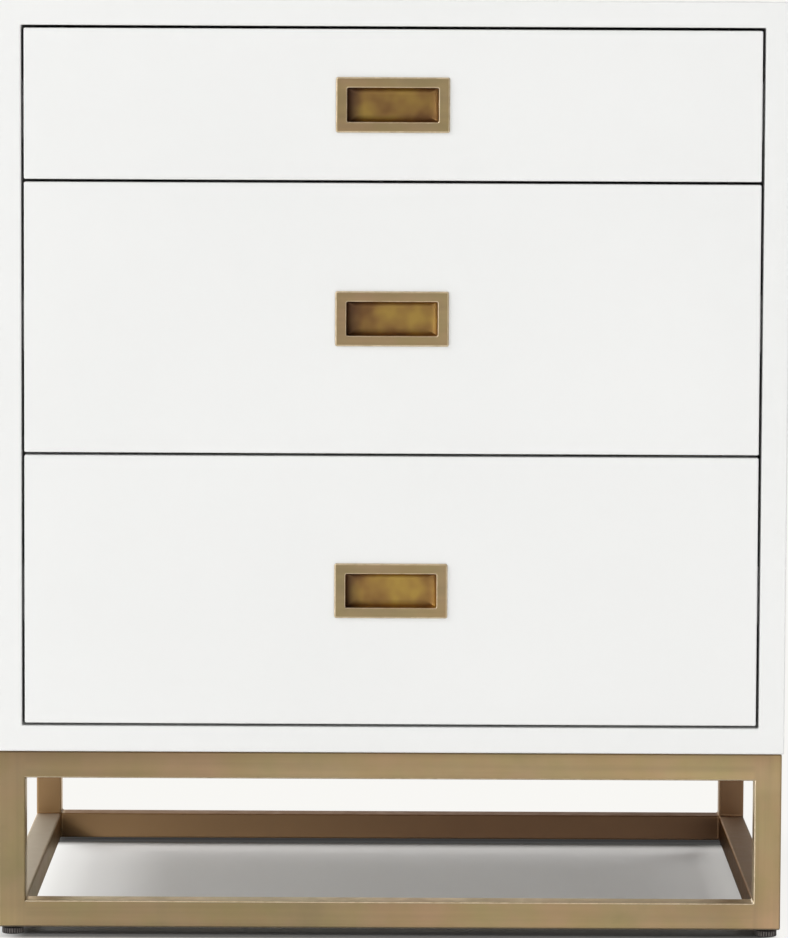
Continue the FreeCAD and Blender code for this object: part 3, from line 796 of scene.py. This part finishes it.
# Drawer boxes: oiled birch boards dovetailed at the corners round a plywood bottom in a groove. Pan-head
# screws hold the runners to the sides and the false front and the pull to the inner front.
BOX_WALL = 0.012
FRONT_SCREW_INSET = 0.060
FRONT_SCREW_EDGE = 0.020
FRONT_SCREW_LENGTH = 0.024
PULL_SCREW_X = 0.020
PULL_SCREW_LENGTH = 0.0205
rail_screw = wood_screw("rail_screw_pattern", RAIL_STEEL + BOX_WALL - SCREW_COVER)
front_screw = wood_screw("front_screw_pattern", FRONT_SCREW_LENGTH)
pull_screw = wood_screw("pull_screw_pattern", PULL_SCREW_LENGTH)
for drawer in DRAWERS:
    for board in ("inner_front", "back", "bottom"):
        finish_node(drawer + "_drawer_" + board, BIRCH_ACROSS)
    for board in ("left_side", "right_side"):
        finish_node(drawer + "_drawer_" + board, BIRCH_DEEP)
    rail_low, rail_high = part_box(drawer + "_slide_drawer_rails")
    rail_level = (rail_low[2] + rail_high[2]) / 2
    box_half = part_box(drawer + "_drawer_right_side")[1][0]
    inner_low, inner_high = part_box(drawer + "_drawer_inner_front")
    front_low, front_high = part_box(drawer + "_drawer_front")
    fasteners = []
    for side in (-1, 1):
        for y in stations(rail_low[1] + RAIL_MARGIN, rail_high[1] - RAIL_MARGIN, RAIL_SCREWS):
            seat = (side * (box_half + RAIL_STEEL), y, rail_level)
            fasteners.append(copy_to(rail_screw, "rail_screw", seat, PATTERN_TURNS[-side]))
        for z in (inner_low[2] + FRONT_SCREW_EDGE, inner_high[2] - FRONT_SCREW_EDGE):
            seat = (side * (box_half - FRONT_SCREW_INSET), inner_high[1], z)
            fasteners.append(copy_to(front_screw, "front_screw", seat))
        seat = (side * PULL_SCREW_X, inner_high[1], (front_low[2] + front_high[2]) / 2)
        fasteners.append(copy_to(pull_screw, "pull_screw", seat))
    joined = join_copies(drawer + "_drawer_pan_screws", fasteners)
    dress(joined, ZINC, drawer + "_drawer", "zinc_steel", drawer + "_drawer_screws")
for pattern in (rail_screw, front_screw, pull_screw):
    bpy.data.objects.remove(pattern)


# Drawer fronts: solid slabs with eased edges, lacquered like the case and set flush in it with an even
# gap. Each has a pocket routed in its middle for the pull, with two holes for the bosses behind.
FRONT_EDGE = 0.0012
POCKET_X = 0.0369
POCKET_Z = 0.0149
POCKET_DEPTH = 0.0119
BOSS_HOLE = 0.0044
BOSS_HOLE_DEPTH = 0.0174
BOSS_SIDES = 32


def mark_lines(piece, normal, places):
    """Cuts new edge lines straight across a piece at places along one axis."""
    take(piece)
    bpy.ops.object.mode_set(mode="EDIT")
    axis = Vector(normal)
    for place in places:
        bpy.ops.mesh.select_all(action="SELECT")
        bpy.ops.mesh.bisect(plane_co=axis * place, plane_no=axis)
    bpy.ops.object.mode_set(mode="OBJECT")


for drawer in DRAWERS:
    front_low, front_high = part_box(drawer + "_drawer_front")
    middle = (front_low[2] + front_high[2]) / 2
    slab = add_block(drawer + "_drawer_slab", front_low, front_high)
    mark_lines(slab, (1, 0, 0), (-POCKET_X, POCKET_X))
    mark_lines(slab, (0, 0, 1), (middle - POCKET_Z, middle + POCKET_Z))
    pick_faces(
        slab,
        lambda centre, normal: normal.y < -SQUARE_ON
        and abs(centre.x) < POCKET_X
        and abs(centre.z - middle) < POCKET_Z,
    )
    pull_out(0, POCKET_DEPTH, 0)
    ease_edges(slab, FRONT_EDGE, EDGE_STEPS)
    for side in (-1, 1):
        hole_mouth = (side * PULL_SCREW_X, front_low[1], middle)
        cut_out(slab, add_round(BOSS_HOLE, 2 * BOSS_HOLE_DEPTH, hole_mouth, BOSS_SIDES))
    dress(slab, LACQUER, drawer + "_drawer", "white_lacquer", drawer + "_drawer_front")


# Pulls: cast brass, one piece each. A flat frame stands a little proud of the front, with softened outer
# edges and a burnished lip, round a shallow scooped cup whose colour was left deeper and more mottled.
FRAME_X = 0.0437
FRAME_Z = 0.0212
FRAME_EDGE = 0.0012
FRAME_CORNER = 0.0016
MOUTH_X = 0.035
MOUTH_Z = 0.013
MOUTH_CORNER = 0.0012
LIP = 0.0010
CUP_WALL = 0.0015
SCOOP_X = 0.009
SCOOP_Z = 0.0055
SCOOP_DEPTH = 0.006
SCOOP_STEPS = 8
SCOOP_ANGLE = 50
PULL_PLAY = 0.0004
BOSS_RADIUS = 0.004
BOSS_EDGE = 0.0004
SLOPED = 0.1
CUP_TONES = (
    (0.34, (0.240, 0.130, 0.056)),
    (0.48, (0.335, 0.198, 0.070)),
    (0.64, (0.425, 0.280, 0.078)),
)
LOW_CUP_LIGHT_TINT = (1.22, 1.22, 1.15, 1)
CUP_END_SHADE = (0.110, 0.060, 0.050, 1)


def mottled_brass():
    """The cup's older-looking brass: golden patches in a brown patina, with painted shade at the left end
    and painted light lifting the lower cups.
    """
    finish, tree, shader, place = start_finish("mottled_brass")
    shader.inputs["Metallic"].default_value = 1.0
    patches = add_noise(tree, place, 40.0, 2.0, 0.5)
    x, y, z = split_place(tree, place)
    colour = tinted(tree, fade_out(tree, z, 0.30, 0.62), add_ramp(tree, patches, CUP_TONES), LOW_CUP_LIGHT_TINT)
    left_end_shade = add_span(tree, x, 0.85, 0.0, -0.034, -0.022)
    tree.links.new(mix_colours(tree, left_end_shade, colour, CUP_END_SHADE), shader.inputs["Base Color"])
    tree.links.new(add_span(tree, patches, 0.54, 0.44), shader.inputs["Roughness"])
    add_bump(tree, shader, add_noise(tree, place, 700.0, 3.0), 0.10, 0.0001)
    return finish


def in_window(point, half_x, half_z):
    """Tells whether a point lies in a window about the middle of the pull."""
    return abs(point.x) < half_x and abs(point.z) < half_z


def corner_lines(half_x, half_z):
    """Wants the lines that run from front to back at the corners of a window."""
    return lambda start, end: (
        abs(start.y - end.y) > 10 * CLOSE
        and abs(abs(start.x) - half_x) < CLOSE
        and abs(abs(start.z) - half_z) < CLOSE
    )


def past_corners(point, slack=0.0):
    """Tells whether a point lies in the frame's outer margin, as wide as its corners are round."""
    margin = FRAME_CORNER + slack
    return abs(point.x) > FRAME_X - margin or abs(point.z) > FRAME_Z - margin


CUP_BRASS = mottled_brass()
front_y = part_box("top_drawer_front")[0][1]
face_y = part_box("top_drawer_pull")[0][1]
boss_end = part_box("top_drawer_pull")[1][1]
floor_y = front_y + POCKET_DEPTH - CUP_WALL - PULL_PLAY
pull_pattern = add_block("pull_pattern", (-FRAME_X, face_y, -FRAME_Z), (FRAME_X, front_y, FRAME_Z))
outer_x = MOUTH_X + CUP_WALL
outer_z = MOUTH_Z + CUP_WALL
mark_lines(pull_pattern, (1, 0, 0), (-outer_x, -MOUTH_X, MOUTH_X, outer_x))
mark_lines(pull_pattern, (0, 0, 1), (-outer_z, -MOUTH_Z, MOUTH_Z, outer_z))
pick_faces(
    pull_pattern, lambda centre, normal: normal.y > SQUARE_ON and in_window(centre, outer_x, outer_z)
)
pull_out(0, floor_y + CUP_WALL - front_y, 0)
pick_faces(
    pull_pattern, lambda centre, normal: normal.y < -SQUARE_ON and in_window(centre, MOUTH_X, MOUTH_Z)
)
pull_out(0, floor_y - SCOOP_DEPTH - face_y, 0)
pick_edges(pull_pattern, corner_lines(MOUTH_X, MOUTH_Z))
bpy.ops.mesh.bevel(offset=MOUTH_CORNER, segments=4)
pick_faces(
    pull_pattern,
    lambda centre, normal: normal.y < -SQUARE_ON
    and in_window(centre, MOUTH_X, MOUTH_Z)
    and centre.y > front_y,
)
turned = 0.0
for step in range(1, SCOOP_STEPS + 1):
    angle = step / SCOOP_STEPS * math.pi / 2
    narrow = [
        (half - reach * (1 - math.cos(angle))) / (half - reach * (1 - math.cos(turned)))
        for half, reach in ((MOUTH_X, SCOOP_X), (MOUTH_Z, SCOOP_Z))
    ]
    pull_out(0, SCOOP_DEPTH * (math.sin(angle) - math.sin(turned)), 0)
    scale_about((narrow[0], 1, narrow[1]), (0, 0, 0))
    turned = angle
pick_edges(
    pull_pattern,
    lambda start, end: max(start.y, end.y) < face_y + CLOSE
    and in_window(start, MOUTH_X + CLOSE, MOUTH_Z + CLOSE)
    and in_window(end, MOUTH_X + CLOSE, MOUTH_Z + CLOSE),
)
bpy.ops.mesh.bevel(offset=LIP, segments=3)
pick_edges(pull_pattern, corner_lines(FRAME_X, FRAME_Z))
bpy.ops.mesh.bevel(offset=FRAME_CORNER, segments=3)
pick_edges(
    pull_pattern,
    lambda start, end: max(start.y, end.y) < face_y + CLOSE
    and past_corners(start, CLOSE)
    and past_corners(end, CLOSE)
    and past_corners((start + end) / 2),
)
bpy.ops.mesh.bevel(offset=FRAME_EDGE, segments=3)
smooth(pull_pattern, SCOOP_ANGLE)
true_flats(pull_pattern)
bosses = []
for side in (-1, 1):
    boss_middle = (side * PULL_SCREW_X, (boss_end + floor_y + CUP_WALL) / 2, 0)
    boss = add_round(BOSS_RADIUS, boss_end - floor_y - CUP_WALL, boss_middle, BOSS_SIDES)
    ease_edges(boss, BOSS_EDGE, 2)
    bosses.append(boss)
pull_pattern = join_copies("pull_pattern", [pull_pattern] + bosses)
pull_pattern.data.materials.clear()
for finish in (BRASS, CUP_BRASS, WORN_HIGHLIT_BRASS):
    pull_pattern.data.materials.append(finish)
# The lip and the rounded outer edges take the paler brass: wear and a painted highlight.
for face in pull_pattern.data.polygons:
    depth = face.center.y
    rounded = face_y + HAIR < depth < face_y + max(LIP, FRAME_EDGE) and abs(face.normal.y) > SLOPED
    if rounded:
        face.material_index = 2
    elif in_window(face.center, MOUTH_X + HAIR, MOUTH_Z + HAIR) and depth < floor_y + CLOSE:
        face.material_index = 1
for drawer in DRAWERS:
    front_low, front_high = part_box(drawer + "_drawer_front")
    middle = (front_low[2] + front_high[2]) / 2
    pull = copy_to(pull_pattern, drawer + "_drawer_flush_pull", (0, 0, middle))
    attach(pull, drawer + "_drawer")
    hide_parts(drawer + "_drawer_pull")
bpy.data.objects.remove(pull_pattern)


# Stage: a pale studio floor, with the shade at the object's foot, a painted soft shadow on its right,
# painted light under the sides of the base and in front of the back rail, and the fade into the pale
# background laid into its finish as bands of (metres, level). A high softbox and a strip stand at the left,
# and three fills, kept out of the reflections, at the front right and behind.
BACKDROP = (0.941, 0.932, 0.903, 1)
FLOOR_TONE = (0.93, 0.925, 0.915)
FLOOR_SIZE = 40
FLOOR_SPAN = 0.45
FADE_ACROSS = ((-0.312, 1.0), (-0.284, 0.0), (0.290, 0.0), (0.303, 1.0))
# Between 0.185 and 0.215 m the deep fade also lifts the floor in front of the back rail, a painted light.
FADE_DEEP = (
    (-0.40, 1.0),
    (-0.29, 0.0),
    (0.155, 0.0),
    (0.185, 0.12),
    (0.197, 0.30),
    (0.206, 0.18),
    (0.215, 0.0),
    (0.295, 0.0),
    (0.40, 1.0),
)
LIGHT_POOL_ACROSS = (
    (-0.287, 1.0),
    (-0.274, 0.80),
    (-0.254, 0.33),
    (-0.246, 0.22),
    (-0.225, 0.18),
    (-0.185, 0.0),
    (0.256, 0.0),
    (0.276, 0.36),
)
LIGHT_POOL_DEEP = ((-0.19, 0.0), (-0.15, 1.0), (0.200, 1.0), (0.222, 0.0))
CORNER_ACROSS = ((-0.30, 1.0), (-0.08, 0.0), (0.08, 0.0), (0.30, 1.0))
CORNER_DEEP = ((-0.31, 1.0), (-0.266, 0.0), (0.246, 0.0), (0.285, 1.0))
SHADE_BANDS = (
    (-0.242, 1.0),
    (-0.2325, 0.25),
    (-0.19, 0.25),
    (-0.12, 1.0),
    (0.214, 1.0),
    (0.219, 0.60),
    (0.2235, 0.20),
    (0.229, 0.11),
    (0.238, 0.06),
    (0.247, 0.10),
    (0.272, 0.62),
    (0.305, 1.0),
)
SOFT_SHADOW_ACROSS = ((0.20, 0.0), (0.285, 0.02), (0.31, 0.03), (0.36, 0.07), (0.44, 0.0))
SOFT_SHADOW_DEEP = ((-0.33, 0.0), (-0.15, 1.0), (0.15, 1.0), (0.33, 0.0))
ROOM_TONE = (1.0, 0.998, 0.992, 1)
ROOM_STRENGTH = 0.52
FRONT_FLATS = (
    (0.0, (0.74, 0.73, 0.71)),
    (0.25, (0.43, 0.42, 0.41)),
    (0.40, (0.33, 0.32, 0.31)),
    (0.58, (0.61, 0.60, 0.58)),
    (0.72, (0.24, 0.24, 0.23)),
    (1.0, (0.02, 0.02, 0.02)),
)
BACK_FLATS = (
    (0.40, (1.0, 0.99, 0.96)),
    (0.51, (0.90, 0.89, 0.86)),
    (0.535, (0.50, 0.49, 0.48)),
    (0.60, (0.15, 0.15, 0.15)),
)
OVERHEAD = greys((0.12, 1.0), (0.38, 0.48))
LENS = 200.24
CAMERA_SPOT = (0.0020, -4.2293, 0.7290)
CAMERA_DROP = 0.0908
CAMERA_ROLL = 0.0046


def mix_shaders(tree, factor, first, second):
    mix = tree.nodes.new("ShaderNodeMixShader")
    tree.links.new(factor, mix.inputs["Fac"])
    tree.links.new(first, mix.inputs[1])
    tree.links.new(second, mix.inputs[2])
    return mix.outputs[0]


def lay_bands(tree, source, bands, tone=(1.0, 1.0, 1.0)):
    """Lays (metres, level) bands of a tone along one direction of the floor."""
    stops = [((spot / FLOOR_SPAN + 1) / 2, [part * level for part in tone]) for spot, level in bands]
    return add_ramp(tree, source, stops)


put_down()
bpy.ops.mesh.primitive_plane_add(size=FLOOR_SIZE, location=(0, 0, 0))
floor = bpy.context.object
floor.name = "floor"
floor_finish, tree, shader, place = start_finish("pale_floor")
shader.inputs["Roughness"].default_value = 0.9
shader.inputs["Specular IOR Level"].default_value = 0.0
x, y, z = split_place(tree, place)
across = fade_in(tree, x, -FLOOR_SPAN, FLOOR_SPAN)
deep = fade_in(tree, y, -FLOOR_SPAN, FLOOR_SPAN)
tree.links.new(lay_bands(tree, deep, SHADE_BANDS, FLOOR_TONE), shader.inputs["Base Color"])
beyond = lay_bands(tree, across, FADE_ACROSS)
# Painted light: the floor under both sides of the base, most on the left, is lifted towards the backdrop.
floor_light_pool = where_all(tree, lay_bands(tree, across, LIGHT_POOL_ACROSS), lay_bands(tree, deep, LIGHT_POOL_DEEP))
corner = where_all(tree, lay_bands(tree, across, CORNER_ACROSS), lay_bands(tree, deep, CORNER_DEEP))
for zone in (lay_bands(tree, deep, FADE_DEEP), floor_light_pool, corner):
    beyond = add_math(tree, "MAXIMUM", beyond, zone)
path = tree.nodes.new("ShaderNodeLightPath")
haze = tree.nodes.new("ShaderNodeEmission")
haze.inputs["Color"].default_value = BACKDROP
shaded = where_all(
    tree, lay_bands(tree, across, SOFT_SHADOW_ACROSS), lay_bands(tree, deep, SOFT_SHADOW_DEEP)
)
tree.links.new(add_math(tree, "SUBTRACT", 1.0, shaded), haze.inputs["Strength"])
fade = add_math(tree, "MULTIPLY", beyond, path.outputs["Is Camera Ray"])
seen_floor = mix_shaders(tree, fade, shader.outputs[0], haze.outputs[0])
tree.links.new(seen_floor, tree.nodes["Material Output"].inputs["Surface"])
floor.data.materials.append(floor_finish)

world = bpy.data.worlds.new("studio")
bpy.context.scene.world = world
world.use_nodes = True
tree = world.node_tree
facing = tree.nodes.new("ShaderNodeTexCoord").outputs["Generated"]
x, y, z = split_place(tree, facing)
room_light = tree.nodes["Background"]
room_light.inputs["Color"].default_value = ROOM_TONE
room_light.inputs["Strength"].default_value = ROOM_STRENGTH
backdrop = tree.nodes.new("ShaderNodeBackground")
backdrop.inputs["Color"].default_value = BACKDROP
mirrored = tree.nodes.new("ShaderNodeBackground")
tree.links.new(add_span(tree, z, 1.9, 6.0, 0.90, 0.97), mirrored.inputs["Strength"])
sideways = fade_in(tree, x, -1.0, 1.0)
front_flats = add_ramp(tree, sideways, FRONT_FLATS)
back_flats = add_ramp(tree, sideways, BACK_FLATS)
flats = mix_colours(tree, fade_in(tree, y, -0.1, 0.1), front_flats, back_flats)
tree.links.new(tinted(tree, 1.0, flats, add_ramp(tree, z, OVERHEAD)), mirrored.inputs["Color"])
path = tree.nodes.new("ShaderNodeLightPath")
bounced = add_math(tree, "MAXIMUM", path.outputs["Is Glossy Ray"], path.outputs["Is Transmission Ray"])
room = mix_shaders(tree, bounced, room_light.outputs[0], mirrored.outputs[0])
seen = mix_shaders(tree, path.outputs["Is Camera Ray"], room, backdrop.outputs[0])
tree.links.new(seen, tree.nodes["World Output"].inputs["Surface"])


def add_softbox(name, power, width, height, spot, aim):
    """Hangs a softbox of a power in watts and a size in metres at a spot, turned to face an aim."""
    data = bpy.data.lights.new(name, "AREA")
    data.energy = power
    data.shape = "RECTANGLE"
    data.size = width
    data.size_y = height
    box = bpy.data.objects.new(name, data)
    bpy.context.scene.collection.objects.link(box)
    box.location = spot
    box.rotation_euler = (Vector(aim) - Vector(spot)).to_track_quat("-Z", "Y").to_euler()
    return box


add_softbox("high_softbox", 25, 1.1, 1.1, (-2.2, -1.8, 2.6), (0, -0.1, 0.4))
add_softbox("left_strip", 6, 0.2, 1.6, (-2.2, -0.85, 0.8), (0, -0.2, 0.5))
fills = [
    add_softbox("front_softbox", 42, 2.4, 1.4, (1.1, -3.8, 0.75), (0, -0.2, 0.25)),
    add_softbox("back_left_softbox", 15, 0.8, 0.8, (-1.2, 1.0, 2.2), (0, 0.05, 0.1)),
    add_softbox("back_right_softbox", 9, 0.8, 0.8, (1.3, 1.7, 1.9), (0, 0.05, 0.1)),
]
for fill in fills:
    fill.visible_glossy = False

camera_data = bpy.data.cameras.new("camera")
camera_data.lens = LENS
camera_data.sensor_width = 36
camera_data.clip_end = 100
camera = bpy.data.objects.new("camera", camera_data)
bpy.context.scene.collection.objects.link(camera)
camera.location = CAMERA_SPOT
tilt = Matrix.Rotation(math.pi / 2 - CAMERA_DROP, 4, "X") @ Matrix.Rotation(CAMERA_ROLL, 4, "Z")
camera.rotation_euler = tilt.to_euler()
bpy.context.scene.camera = camera
bpy.context.scene.view_settings.view_transform = "Standard"
